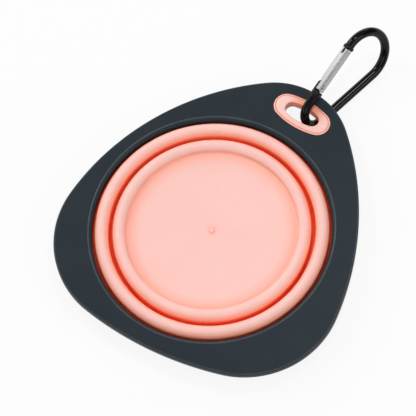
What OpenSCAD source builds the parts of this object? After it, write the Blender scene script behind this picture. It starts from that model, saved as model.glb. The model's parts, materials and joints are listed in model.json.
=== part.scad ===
// Collapsible silicone bowl, folded flat, in a rounded three-sided hard frame with a clip-on carabiner.
// Units are millimetres. Z points up, the standing plane is z = 0, the bowl axis is the Z axis
// and +Y points at the hang hole in the frame's narrow corner.

/* [Bowl] */
// Radius of the flat floor disc
floor_radius = 42; // [40:0.5:44]
// Thickness of the silicone webs, rings and skirt
wall = 1.2; // [1.0:0.1:1.4]
// Height of the folded bowl from the standing plane to the frame's top face
folded_height = 12; // [11.6:0.2:13]
// Depth of the floor's top face below the frame's top face
floor_drop = 3.0; // [2.6:0.1:3.6]
// Height of the outer bead's crest above the frame's top face
crest_rise = 0.7; // [0.3:0.1:1.2]
// Height of the lowest fold above the standing plane
fold_lift = 0.4; // [0.3:0.1:0.8]

/* [Frame] */
// Thickness of the hard frame
frame_thickness = 4.4; // [4.0:0.1:4.6]
// Radius of the rounding on the frame's top edge
edge_round = 1.6; // [1.2:0.1:1.8]
// Radius of the rounding on the lip of the frame's bore
lip_round = 2.4; // [1.8:0.1:2.8]
// Width of the frame from its bore to the tip of the hang corner
hang_margin = 30.7; // [29:0.1:32]
// Width of the frame from its bore to the tip of the corner left of the hang corner
left_margin = 19.6; // [18:0.1:22]
// Width of the frame from its bore to the tip of the corner right of the hang corner
right_margin = 23.6; // [22:0.1:25]

/* [Hang hole] */
// Length of the hang hole inside the grommet
hole_length = 19.2; // [18.8:0.1:20]
// Width of the hang hole inside the grommet
hole_width = 8.5; // [8.4:0.1:9.2]
// Height of the grommet's flanges above the frame's faces
flange_height = 0.5; // [0.3:0.1:0.6]

/* [Carabiner] */
// Diameter of the bent rod
rod_diameter = 4.7; // [4.4:0.1:4.8]
// Bend radius of the small end, on the rod's centreline
small_bend = 7.5; // [7.3:0.1:7.9]
// Bend radius of the large end, on the rod's centreline
large_bend = 13.8; // [13:0.1:14.6]
// Distance between the two bend centres along the spine
bend_pitch = 37; // [35:0.2:40]
// Side of the square gate bar
gate_side = 4.0; // [3.7:0.1:4.2]

/* [Fits] */
// Radial running clearance of the gate on its rivet
pin_fit = 0.05; // [0.03:0.01:0.08]
// Clearance between flat faces that slide past each other
slide_fit = 0.1; // [0.08:0.01:0.15]
// Gap left at each seam where the bowl's wall is divided into moving pieces
seam_gap = 0.1; // [0.06:0.02:0.2]

/* [Hidden] */
$fn = 96;
cut = 0.5;
// Swept pieces of one solid run into each other by this length, and every second one stands proud by this step
lap = 0.4;
step = 0.03;

// Ring radii of the folded wall, from the floor outwards, on the wall's mid surface
inner_hump = 2.8;
groove_bend = 1.6;
outer_hump = 2.9;
skirt_bend = 1.5;
floor_to_crest = 4.6;
inner_crest_r = floor_radius + floor_to_crest;
inner_web_r = inner_crest_r + inner_hump;
groove_r = inner_web_r + groove_bend;
mid_wall_r = groove_r + groove_bend;
outer_crest_r = mid_wall_r + outer_hump;
outer_web_r = outer_crest_r + outer_hump;
skirt_bend_r = outer_web_r + skirt_bend;
skirt_r = skirt_bend_r + skirt_bend;

// Heights of the folded wall, on the wall's mid surface
half_wall = wall / 2;
frame_top = folded_height;
frame_under = frame_top - frame_thickness;
floor_top = frame_top - floor_drop;
fold_low = fold_lift + half_wall;
fold_high = frame_top + crest_rise - half_wall;
// The inner bead's crest lies this much lower than the outer bead's
inner_bead_drop = 0.2;
inner_fold_high = fold_high - inner_bead_drop;

// Floor disc, its centre nub and its foot
floor_thickness = 2.4;
floor_under = floor_top - floor_thickness;
foot_inset = 0.5;
foot_width = 4;
foot_outer = floor_radius - foot_inset;
foot_inner = foot_outer - foot_width;
foot_round = 0.8;
nub_ring_r = 2.5;
nub_ring_depth = 0.25;
nub_ring_width = 0.9;
nub_r = 1.1;
nub_rise = 0.45;
nub_round = 0.2;
ridge_out = 0.5;
ridge_r = 0.3;

// Frame outline, three corner arcs joined by three flatter side arcs
// The bore's lip reaches this far inside the skirt and hides it from above
lip_cover = 0.6;
frame_bore = skirt_r - half_wall - lip_cover;
corner_r = [38.9, 48.8, 48.2];
corner_dir = [90.5, 225.6, -24.4];
corner_reach = [frame_bore + hang_margin, frame_bore + left_margin, frame_bore + right_margin];
side_r = [130, 173.3, 155];
corner_c = [for (i = [0:2]) (corner_reach[i] - corner_r[i]) * [cos(corner_dir[i]), sin(corner_dir[i])]];
frame_band = 6;
under_round = 1.2;
crease = 0.03;
middle_steps = 4;

// Rim bead of the bowl, held in a groove in the frame's underside
bead_land = 1.9;
bead_inner = frame_bore + bead_land;
bead_width = 2.4;
bead_height = 2.2;
bead_fit = 0.05;
rim_flange_t = 1.2;
rim_flange_land = 1.6;
rim_flange_r = bead_inner + bead_width + rim_flange_land;

// Hang hole and grommet
grommet_inset = 13.9;
grommet_y = corner_reach[0] - grommet_inset;
grommet_turn = 1.8;
hole_end_r = 3.5;
flange_end_width = 6.4;
flange_side_width = 3.7;
flange_length = hole_length + 2 * flange_end_width;
flange_width = hole_width + 2 * flange_side_width;
flange_end_r = 6.6;
neck_end_wall = 2.2;
neck_side_wall = 2;
neck_length = hole_length + 2 * neck_end_wall;
neck_width = hole_width + 2 * neck_side_wall;
neck_end_r = 5.4;
seat_fit = 0.05;
flange_bevel = 1.2;

// Carabiner loop in its own plane: x along the spine, y towards the gate, z square to the plane
rod_r = rod_diameter / 2;
gate_angle = 2 * atan((large_bend - small_bend) / bend_pitch);
gate_line = bend_pitch;
gate_start = small_bend * [cos(90 + gate_angle), 1 + sin(90 + gate_angle)];
block_flat = 0.3;
block_side = rod_diameter - block_flat;
block_round = 0.6;
heel_face = 8.5;
block_length = 4.1;
nose_gap = 0.2;
nose_length = 2.5;
nose_face = gate_line - nose_length;
gate_end = nose_face - nose_gap;
half_gate = gate_side / 2;
gate_round = 0.6;
tongue_t = 1.3;
tongue_low = -half_gate;
tongue_high = tongue_low + tongue_t;
rivet_from_heel = 3.1;
rivet_s = heel_face + rivet_from_heel;
tongue_end_r = 2.7;
// Gap round the two ends that turn past each other at the gate's hinge
swing_gap = 0.15;
heel_r = rivet_from_heel - swing_gap;
lap_end = rivet_s + tongue_end_r + swing_gap;
rivet_r = 0.8;
rivet_head_r = 1.25;
rivet_head_t = 0.45;
rivet_tail_t = 0.3;
hook_t = 1.0;
hook_reach = 2.3;
hook_low = -0.2;
hook_play = 0.25;
slot_w = hook_t + 2 * hook_play;
slot_depth = 3.0;
pin_r = 0.55;
pin_from_nose = 1.4;
pin_s = nose_face - pin_from_nose;
spring_r = 0.25;
spring_bore_r = 0.4;
spring_in_tongue = 1.1;
spring_in_gate = 5;
spring_from = lap_end - spring_in_tongue;
spring_to = lap_end + spring_in_gate;
spring_side = -0.8;
spring_level = tongue_low + tongue_t / 2;

// Carabiner pose: hung through the grommet, its spine lying on the standing plane
loop_heading = 9.8;
loop_lean = 66.7;
loop_x = 6.9;
loop_past_hole = 6.2;
ground_gap = 0.05;
loop_y = grommet_y + loop_past_hole;
loop_z = rod_r + ground_gap;

silicone = [0.98, 0.77, 0.73];
slate = [0.20, 0.22, 0.24];
black = [0.05, 0.05, 0.05];
silver = [0.80, 0.81, 0.83];

// Plane geometry helpers

function unit(v) = v / norm(v);

function turn(v) = [-v[1], v[0]];

function direction(v) = atan2(v[1], v[0]);

// Centre of a flatter arc of radius big that touches two corner arcs from outside them
function side_centre(c1, r1, c2, r2, big) =
    let (gap = c2 - c1)
    let (span = norm(gap))
    let (along = (pow(big - r1, 2) - pow(big - r2, 2) + span * span) / (2 * span))
    let (away = sqrt(pow(big - r1, 2) - along * along))
    c1 + along * unit(gap) + away * turn(unit(gap));

// An arc of an outline: centre, radius, start angle, end angle, turning to the left
function arc(c, r, from, to) = [c, r, from, to < from ? to + 360 : to];

function arc_points(a, inset, steps) =
    [for (i = [0:steps - 1])
        let (t = a[2] + (a[3] - a[2]) * (i + 0.5) / steps)
        a[0] + (a[1] - inset) * [cos(t), sin(t)]];

// The six arcs of the frame's outline, in order, turning to the left
side_c = [for (i = [0:2]) side_centre(corner_c[i], corner_r[i],
    corner_c[(i + 1) % 3], corner_r[(i + 1) % 3], side_r[i])];
corner_arcs = [for (i = [0:2]) arc(corner_c[i], corner_r[i],
    direction(corner_c[i] - side_c[(i + 2) % 3]), direction(corner_c[i] - side_c[i]))];
side_arcs = [for (i = [0:2]) arc(side_c[i], side_r[i],
    direction(corner_c[i] - side_c[i]), direction(corner_c[(i + 1) % 3] - side_c[i]))];
frame_arcs = [corner_arcs[0], side_arcs[0], corner_arcs[1], side_arcs[1], corner_arcs[2], side_arcs[2]];

function inset_points(arcs, inset, steps) = [for (a = arcs) for (p = arc_points(a, inset, steps)) p];

// Cutter for one rounded edge at the origin: the round leaves the flat face at a faint crease
module edge_cutter(round) {
    difference() {
        translate([-round, -round + crease * round]) square(2 * round);
        translate([-round, -round + crease * round]) circle(r = round);
    }
}

// Section of a plate's edge, from the outline inwards, rounded at the top and the bottom
module edge_section(r, band, low, high, round_low, round_high) {
    difference() {
        translate([r - band, low]) square([band, high - low]);
        translate([r, high]) edge_cutter(round_high);
        translate([r, low]) mirror([0, 1]) edge_cutter(round_low);
    }
}

// A plate bounded by arcs with a rounded rim: one swept edge for each arc and a filled middle
module soft_plate(arcs, band, low, high, round_low, round_high) {
    for (i = [0:len(arcs) - 1]) {
        a = arcs[i];
        proud = i % 2 == 0;
        over = proud ? lap / a[1] * 180 / PI : 0;
        translate([a[0][0], a[0][1], 0])
            rotate_extrude(angle = a[3] - a[2] + 2 * over, start = a[2] - over)
                edge_section(a[1] + (proud ? step : 0), band, low, high, round_low, round_high);
    }
    translate([0, 0, low])
        linear_extrude(height = high - low)
            polygon(inset_points(arcs, band / 2, middle_steps));
}

// An oval of two flat arcs and two end arcs, the ends proud by one step so that they cross the flat arcs cleanly
module oval_shape(length, width, end_r) {
    a = length / 2;
    b = width / 2;
    end_x = a - end_r;
    big = (end_x * end_x + b * b - end_r * end_r) / (2 * (b - end_r));
    half = atan2(end_x, big - b);
    meet_x = end_x + end_r * sin(half);
    intersection() {
        translate([0, b - big]) circle(r = big);
        translate([0, big - b]) circle(r = big);
        square([2 * meet_x, 2 * width], center = true);
    }
    for (i = [-1, 1])
        translate([i * end_x, 0]) circle(r = end_r + step);
}

// An upright oval core about the hang hole's centre
module oval_prism(length, width, end_r, low, high) {
    translate([0, grommet_y, low])
        rotate([0, 0, grommet_turn])
            linear_extrude(height = high - low)
                oval_shape(length, width, end_r);
}

// Wall sections, drawn in the r-z plane and turned about the bowl axis

module quarter_bend(r, z, bend, side, up) {
    intersection() {
        translate([r, z])
            difference() {
                circle(r = bend + half_wall);
                circle(r = bend - half_wall);
            }
        translate([side > 0 ? r + seam_gap / 2 : r - 2 * bend - seam_gap / 2, up > 0 ? z : z - 2 * bend])
            square(2 * bend);
    }
}

module straight_wall(r, low, high) {
    translate([r - half_wall, low]) square([wall, high - low]);
}

// One web with its lower quarter bend, its straight wall and its upper quarter bend
module web_section(r_low, bend_low, side_low, r_high, bend_high, side_high, z_high) {
    quarter_bend(r_low, fold_low + bend_low, bend_low, side_low, -1);
    straight_wall(r_low + side_low * bend_low, fold_low + bend_low, z_high - bend_high);
    quarter_bend(r_high, z_high - bend_high, bend_high, side_high, 1);
}

module bowl_floor() {
    color(silicone)
        difference() {
            rotate_extrude() {
                translate([0, floor_under]) square([floor_radius, floor_thickness]);
                translate([foot_inner, foot_round])
                    square([foot_outer - foot_inner, floor_under - foot_round + cut]);
                translate([foot_inner + foot_round, 0])
                    square([foot_outer - foot_inner - 2 * foot_round, foot_round + cut]);
                translate([foot_inner + foot_round, foot_round]) circle(r = foot_round);
                translate([foot_outer - foot_round, foot_round]) circle(r = foot_round);
                translate([0, floor_top - cut]) square([nub_r, cut + nub_rise - nub_round]);
                translate([0, floor_top]) square([nub_r - nub_round, nub_rise]);
                translate([nub_r - nub_round, floor_top + nub_rise - nub_round]) circle(r = nub_round);
            }
            rotate_extrude()
                translate([nub_ring_r - nub_ring_width, floor_top - nub_ring_depth])
                    square([nub_ring_width, nub_ring_depth + cut]);
        }
}

module lower_ring() {
    slope_r = inner_crest_r - inner_hump;
    color(silicone)
        rotate_extrude() {
            quarter_bend(inner_crest_r, inner_fold_high - inner_hump, inner_hump, -1, 1);
            translate([slope_r - half_wall, floor_under])
                square([wall, inner_fold_high - inner_hump - floor_under]);
            translate([floor_radius, floor_under])
                square([slope_r - floor_radius, floor_thickness]);
            translate([floor_radius + ridge_out, floor_top]) circle(r = ridge_r);
        }
}

module inner_fold() {
    color(silicone)
        rotate_extrude()
            web_section(groove_r, groove_bend, -1, inner_crest_r, inner_hump, 1, inner_fold_high);
}

module upper_ring() {
    color(silicone)
        rotate_extrude()
            web_section(groove_r, groove_bend, 1, outer_crest_r, outer_hump, -1, fold_high);
}

module outer_fold() {
    color(silicone)
        rotate_extrude()
            web_section(skirt_bend_r, skirt_bend, -1, outer_crest_r, outer_hump, 1, fold_high);
}

module bowl_collar() {
    color(silicone)
        rotate_extrude() {
            quarter_bend(skirt_bend_r, fold_low + skirt_bend, skirt_bend, 1, -1);
            straight_wall(skirt_r, fold_low + skirt_bend, frame_under);
            translate([skirt_r - half_wall, frame_under - rim_flange_t])
                square([rim_flange_r - skirt_r + half_wall, rim_flange_t]);
            translate([bead_inner + bead_fit, frame_under - cut])
                square([bead_width - 2 * bead_fit, bead_height - bead_fit + cut]);
        }
}

module rim_frame() {
    color(slate)
        difference() {
            soft_plate(frame_arcs, frame_band, frame_under, frame_top, under_round, edge_round);
            rotate_extrude() {
                translate([0, frame_under - cut]) square([frame_bore, frame_thickness + 2 * cut]);
                translate([frame_bore, frame_top]) mirror([1, 0]) edge_cutter(lip_round);
                translate([bead_inner, frame_under - cut]) square([bead_width, bead_height + cut]);
            }
            oval_prism(neck_length, neck_width, neck_end_r, frame_under - cut, frame_top + cut);
        }
}

module grommet_flange(inset, low, high) {
    oval_prism(flange_length - 2 * inset, flange_width - 2 * inset, flange_end_r - inset, low, high);
}

module hang_grommet() {
    half_flange = flange_height / 2;
    color(silicone)
        difference() {
            union() {
                grommet_flange(0, frame_top, frame_top + half_flange);
                grommet_flange(flange_bevel, frame_top, frame_top + flange_height);
                oval_prism(neck_length - 2 * seat_fit, neck_width - 2 * seat_fit, neck_end_r - seat_fit,
                    frame_under - half_flange, frame_top + half_flange);
                grommet_flange(0, frame_under - half_flange, frame_under);
                grommet_flange(flange_bevel, frame_under - flange_height, frame_under);
            }
            oval_prism(hole_length, hole_width, hole_end_r,
                frame_under - flange_height - cut, frame_top + flange_height + cut);
        }
}

// Carabiner pieces, drawn in the loop's own plane

module hung() {
    translate([loop_x, loop_y, loop_z])
        rotate([0, 0, 90 - loop_heading])
            rotate([loop_lean, 0, 0])
                children();
}

module along_gate() {
    translate([gate_start[0], gate_start[1], 0])
        rotate([0, 0, gate_angle])
            children();
}

// A straight length of the rod, proud of the bends that run into it
module rod(from, to) {
    translate([from, 0, 0]) rotate([0, 90, 0]) cylinder(r = rod_r + step, h = to - from);
}

// A square bar with rounded edges lying along x
module bar(from, to, side, round) {
    flat = side - 2 * round;
    translate([from, 0, 0])
        rotate([90, 0, 90])
            linear_extrude(height = to - from) {
                square([side, flat], center = true);
                square([flat, side], center = true);
                for (i = [-1, 1])
                    for (j = [-1, 1])
                        translate([i * flat / 2, j * flat / 2]) circle(r = round);
            }
}

// A round pin square to the loop's plane
module cross_pin(s, o, r, low, high) {
    translate([s, o, low]) cylinder(r = r, h = high - low);
}

module tongue() {
    translate([0, 0, tongue_low])
        linear_extrude(height = tongue_t)
            intersection() {
                translate([heel_face - cut, -half_gate])
                    square([rivet_s + tongue_end_r - heel_face + 2 * cut, gate_side]);
                union() {
                    translate([rivet_s, 0]) circle(r = tongue_end_r);
                    translate([heel_face - 2 * cut, -gate_side]) square([rivet_s - heel_face, 2 * gate_side]);
                }
            }
}

module hook() {
    difference() {
        translate([nose_face - hook_reach, hook_low, -hook_t / 2])
            cube([hook_reach + cut, half_gate - hook_low, hook_t]);
        cross_pin(pin_s, hook_low, pin_r + slide_fit, -hook_t, hook_t);
    }
}

module carabiner_body() {
    color(black)
        hung() {
            rod(-lap / 2, bend_pitch + lap / 2);
            translate([bend_pitch, large_bend, 0])
                rotate_extrude(angle = 180 + gate_angle, start = -90)
                    translate([large_bend, 0]) circle(r = rod_r);
            translate([0, small_bend, 0])
                rotate_extrude(angle = 180 - gate_angle, start = 90 + gate_angle)
                    translate([small_bend, 0]) circle(r = rod_r);
            along_gate() {
                rod(-lap / 2, heel_face - block_length + cut);
                difference() {
                    union() {
                        bar(heel_face - block_length, heel_face, block_side, block_round);
                        tongue();
                    }
                    cross_pin(rivet_s, 0, rivet_r, -gate_side, gate_side);
                    translate([spring_from, spring_side, spring_level])
                        rotate([0, 90, 0]) cylinder(r = spring_bore_r, h = spring_to - spring_from);
                }
                bar(nose_face, gate_line - cut, block_side, block_round);
                rod(gate_line - 2 * cut, gate_line + lap / 2);
                hook();
            }
        }
}

module hinge_rivet() {
    color(silver)
        hung()
            along_gate() {
                cross_pin(rivet_s, 0, rivet_r, tongue_low - rivet_tail_t, half_gate + rivet_head_t);
                cross_pin(rivet_s, 0, rivet_head_r, tongue_low - rivet_tail_t, tongue_low);
                cross_pin(rivet_s, 0, rivet_head_r, half_gate + slide_fit, half_gate + rivet_head_t);
            }
}

module gate_bar() {
    color(silver)
        hung()
            along_gate()
                difference() {
                    intersection() {
                        bar(rivet_s - heel_r - cut, gate_end, gate_side, gate_round);
                        union() {
                            cross_pin(rivet_s, 0, heel_r, -gate_side, gate_side);
                            translate([rivet_s, -gate_side, -gate_side])
                                cube([gate_line, 2 * gate_side, 2 * gate_side]);
                        }
                    }
                    translate([rivet_s - 2 * heel_r, -gate_side, -gate_side])
                        cube([lap_end - rivet_s + 2 * heel_r, 2 * gate_side, gate_side + tongue_high + slide_fit]);
                    cross_pin(rivet_s, 0, rivet_r + pin_fit, -gate_side, gate_side);
                    translate([gate_end - slot_depth, -gate_side, -slot_w / 2])
                        cube([slot_depth + cut, 2 * gate_side, slot_w]);
                    cross_pin(pin_s, hook_low, pin_r, -gate_side, gate_side);
                    translate([lap_end - cut, spring_side, spring_level])
                        rotate([0, 90, 0]) cylinder(r = spring_bore_r, h = spring_to - lap_end + cut);
                }
}

module latch_pin() {
    color(silver)
        hung()
            along_gate()
                cross_pin(pin_s, hook_low, pin_r, -half_gate, half_gate);
}

module gate_spring() {
    color(silver)
        hung()
            along_gate()
                translate([spring_from + slide_fit, spring_side, spring_level])
                    rotate([0, 90, 0]) cylinder(r = spring_r, h = spring_to - spring_from - slide_fit);
}

bowl_floor();
lower_ring();
inner_fold();
upper_ring();
outer_fold();
bowl_collar();
rim_frame();
hang_grommet();
carabiner_body();
hinge_rivet();
gate_bar();
latch_pin();
gate_spring();
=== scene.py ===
"""Folded travel bowl of pink silicone in a slate three-sided frame, with a grommet and a black carabiner.

Sizes are in millimetres in the classes below and become metres where a mesh is made. The frame of
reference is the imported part's: Z up, the bowl axis on Z, the standing plane at z = 0, +Y to the hang hole.
"""

from __future__ import annotations

import json
import logging
import math
from collections.abc import Callable
from dataclasses import dataclass, field
from enum import Enum
from typing import ClassVar

import bmesh
import bpy
from mathutils import Matrix, Vector

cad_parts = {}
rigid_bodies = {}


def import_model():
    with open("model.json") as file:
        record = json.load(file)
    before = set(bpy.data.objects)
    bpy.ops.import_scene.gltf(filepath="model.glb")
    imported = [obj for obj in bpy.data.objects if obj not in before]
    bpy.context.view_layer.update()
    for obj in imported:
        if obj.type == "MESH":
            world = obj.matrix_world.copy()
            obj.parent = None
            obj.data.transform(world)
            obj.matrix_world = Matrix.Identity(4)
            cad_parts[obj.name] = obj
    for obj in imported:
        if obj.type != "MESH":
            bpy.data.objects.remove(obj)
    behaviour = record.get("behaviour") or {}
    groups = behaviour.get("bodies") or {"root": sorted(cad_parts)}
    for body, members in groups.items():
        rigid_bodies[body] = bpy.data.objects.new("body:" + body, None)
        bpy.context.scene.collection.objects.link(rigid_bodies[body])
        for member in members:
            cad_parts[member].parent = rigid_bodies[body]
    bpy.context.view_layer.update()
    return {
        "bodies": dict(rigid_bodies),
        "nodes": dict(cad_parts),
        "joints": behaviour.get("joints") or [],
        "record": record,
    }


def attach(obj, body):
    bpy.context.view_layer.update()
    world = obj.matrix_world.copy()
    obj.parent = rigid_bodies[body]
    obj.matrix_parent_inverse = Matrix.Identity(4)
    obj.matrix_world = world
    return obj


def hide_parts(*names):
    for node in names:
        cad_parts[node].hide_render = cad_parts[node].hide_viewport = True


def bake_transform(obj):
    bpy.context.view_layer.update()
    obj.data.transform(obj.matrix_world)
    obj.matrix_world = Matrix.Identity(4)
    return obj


LOG = logging.getLogger("travel_bowl")
MM = 0.001
WELD = 0.002 * MM
UP = Vector((0.0, 0.0, 1.0))


class Slot(Enum):
    """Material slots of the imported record."""

    SILICONE = "silicone"
    FRAME = "frame_plastic"
    BLACK = "black_metal"
    BRIGHT = "bright_metal"
    STEEL = "steel"


class Body(Enum):
    """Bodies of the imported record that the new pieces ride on."""

    BASE = "base"
    MIDDLE = "mid_ring"
    RIM = "rim"
    CARABINER = "carabiner"


Colour = tuple[float, float, float]
Place = tuple[float, float, float]
Feed = bpy.types.NodeSocket | float | tuple[float, ...]


def direction(degrees: float) -> Vector:
    """Returns the level unit vector at an angle from +X."""
    return Vector((math.cos(math.radians(degrees)), math.sin(math.radians(degrees)), 0.0))


def heading_of(vector: Vector) -> float:
    """Returns a vector's level angle from +X in degrees."""
    return math.degrees(math.atan2(vector.y, vector.x))


class Bench:
    """Modelling operators used by every piece, run on the one active object."""

    @staticmethod
    def clear() -> None:
        """Leaves edit mode and deselects everything."""
        if bpy.context.mode != "OBJECT":
            bpy.ops.object.mode_set(mode="OBJECT")
        bpy.ops.object.select_all(action="DESELECT")

    @staticmethod
    def point(name: str, place: Vector) -> bpy.types.Object:
        """Starts a piece as one vertex, collapsed from a small plane.

        Args:
            name: Name of the new object.
            place: Where the vertex lies, in metres.

        Returns:
            The new object, in edit mode, with its vertex selected.
        """
        Bench.clear()
        bpy.ops.mesh.primitive_plane_add(size=MM, location=place)
        piece = bpy.context.object
        piece.name = name
        bpy.ops.object.transform_apply(location=True, rotation=True, scale=True)
        bpy.ops.object.mode_set(mode="EDIT")
        bpy.ops.mesh.select_mode(type="VERT")
        bpy.ops.mesh.select_all(action="SELECT")
        bpy.ops.mesh.merge(type="CENTER")
        return piece

    @staticmethod
    def spin(centre: Vector, axis: Vector, degrees: float, steps: int) -> None:
        """Sweeps what is selected round an axis and leaves the far end selected.

        Args:
            centre: A point on the axis, in metres.
            axis: Direction of the axis.
            degrees: Angle of the sweep by the right-hand rule.
            steps: Number of segments.
        """
        bpy.ops.mesh.spin(
            steps=steps,
            dupli=False,
            angle=-math.radians(degrees),
            use_auto_merge=False,
            use_normal_flip=False,
            center=centre,
            axis=axis,
        )

    @staticmethod
    def pick(piece: bpy.types.Object, wanted: Callable[[bmesh.types.BMEdge], bool]) -> None:
        """Selects the edges that pass a test, and nothing else.

        Args:
            piece: The object in edit mode.
            wanted: The test of an edge.
        """
        bpy.ops.mesh.select_mode(type="EDGE")
        bpy.ops.mesh.select_all(action="DESELECT")
        for edge in bmesh.from_edit_mesh(piece.data).edges:
            if wanted(edge):
                edge.select_set(True)
        bmesh.update_edit_mesh(piece.data)

    @staticmethod
    def weld() -> None:
        """Merges the active mesh's doubles and turns its faces outwards."""
        bpy.ops.mesh.select_mode(type="VERT")
        bpy.ops.mesh.select_all(action="SELECT")
        bpy.ops.mesh.remove_doubles(threshold=WELD)
        bpy.ops.mesh.normals_make_consistent(inside=False)

    @staticmethod
    def done(piece: bpy.types.Object, angle: float = 35.0) -> bpy.types.Object:
        """Ends edit mode and smooths every edge that is flatter than an angle.

        Args:
            piece: The active object.
            angle: The angle in degrees.

        Returns:
            The same object.
        """
        bpy.ops.object.mode_set(mode="OBJECT")
        bpy.ops.object.shade_smooth_by_angle(angle=math.radians(angle))
        return piece

    @staticmethod
    def push(move: Vector) -> None:
        """Extrudes what is selected along a straight line.

        Args:
            move: Length and direction of the line, in millimetres.
        """
        bpy.ops.mesh.extrude_region_move(TRANSFORM_OT_translate={"value": move * MM})

    @staticmethod
    def settle(piece: bpy.types.Object, place: Matrix) -> bpy.types.Object:
        """Moves a piece drawn at the origin to its place and leaves the object itself at the origin.

        Args:
            piece: The piece.
            place: Matrix of its place.

        Returns:
            The same object.
        """
        Bench.clear()
        piece.select_set(True)
        bpy.context.view_layer.objects.active = piece
        piece.matrix_world = place
        bpy.ops.object.transform_apply(location=True, rotation=True, scale=True)
        return piece

    @staticmethod
    def cut(piece: bpy.types.Object, tool: bpy.types.Object) -> bpy.types.Object:
        """Takes one piece out of another and removes the tool.

        Args:
            piece: The piece that is cut.
            tool: The closed shape that is taken out.

        Returns:
            The cut piece.
        """
        Bench.clear()
        piece.select_set(True)
        bpy.context.view_layer.objects.active = piece
        modifier = piece.modifiers.new("cut", "BOOLEAN")
        modifier.operation = "DIFFERENCE"
        modifier.solver = "EXACT"
        modifier.object = tool
        bpy.ops.object.modifier_apply(modifier="cut")
        bpy.data.objects.remove(tool, do_unlink=True)
        return piece

    @staticmethod
    def join(pieces: list[bpy.types.Object]) -> bpy.types.Object:
        """Joins pieces into the first one.

        Args:
            pieces: The pieces, the one that stays first.

        Returns:
            The joined object.
        """
        Bench.clear()
        for piece in pieces:
            piece.select_set(True)
        bpy.context.view_layer.objects.active = pieces[0]
        bpy.ops.object.join()
        return pieces[0]


@dataclass
class Section:
    """A section drawn as lines and arcs in an upright plane and then swept.

    Attributes:
        name: Name of the object that the section becomes.
        start: First point of the section, out from the centre and up.
        centre: Point that the section's outward distances are measured from.
        heading: Angle of the section's plane from +X in degrees.
        at: Last point drawn, out from the centre and up.
        piece: The object, in edit mode while the section is drawn.
    """

    name: str
    start: tuple[float, float]
    centre: Vector = field(default_factory=Vector)
    heading: float = 0.0
    at: tuple[float, float] = field(init=False)
    piece: bpy.types.Object = field(init=False)

    def __post_init__(self) -> None:
        """Puts the first vertex down."""
        self.at = self.start
        self.piece = Bench.point(self.name, self.place(*self.start))

    def place(self, out: float, up: float) -> Vector:
        """Returns the place in metres of a point of the section."""
        return (self.centre + direction(self.heading) * out + UP * up) * MM

    def line(self, out: float, up: float, parts: int = 1) -> Section:
        """Draws a straight line from the last point.

        Args:
            out: Distance of the line's end from the centre.
            up: Height of the line's end.
            parts: Number of segments.

        Returns:
            The section itself.
        """
        move = (self.place(out, up) - self.place(*self.at)) / parts
        for _ in range(parts):
            bpy.ops.mesh.extrude_vertices_move(TRANSFORM_OT_translate={"value": move})
        self.at = (out, up)
        return self

    def arc(self, out: float, up: float, degrees: float, parts: int) -> Section:
        """Draws an arc from the last point.

        Args:
            out: Distance of the arc's middle from the centre.
            up: Height of the arc's middle.
            degrees: Angle of the arc, positive from up towards out.
            parts: Number of segments.

        Returns:
            The section itself.
        """
        axis = UP.cross(direction(self.heading))
        Bench.spin(self.place(out, up), axis, degrees, parts)
        turn = math.radians(degrees)
        across, above = self.at[0] - out, self.at[1] - up
        self.at = (
            out + across * math.cos(turn) + above * math.sin(turn),
            up - across * math.sin(turn) + above * math.cos(turn),
        )
        return self

    def close(self) -> Section:
        """Draws a line back to the first point."""
        return self.line(*self.start)

    def lathe(self, steps: int = 192) -> bpy.types.Object:
        """Turns the section once round the bowl's axis.

        Args:
            steps: Number of segments.

        Returns:
            The finished object.
        """
        bpy.ops.mesh.select_all(action="SELECT")
        Bench.spin(Vector(), UP, 360.0, steps)
        Bench.weld()
        return Bench.done(self.piece)


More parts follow.
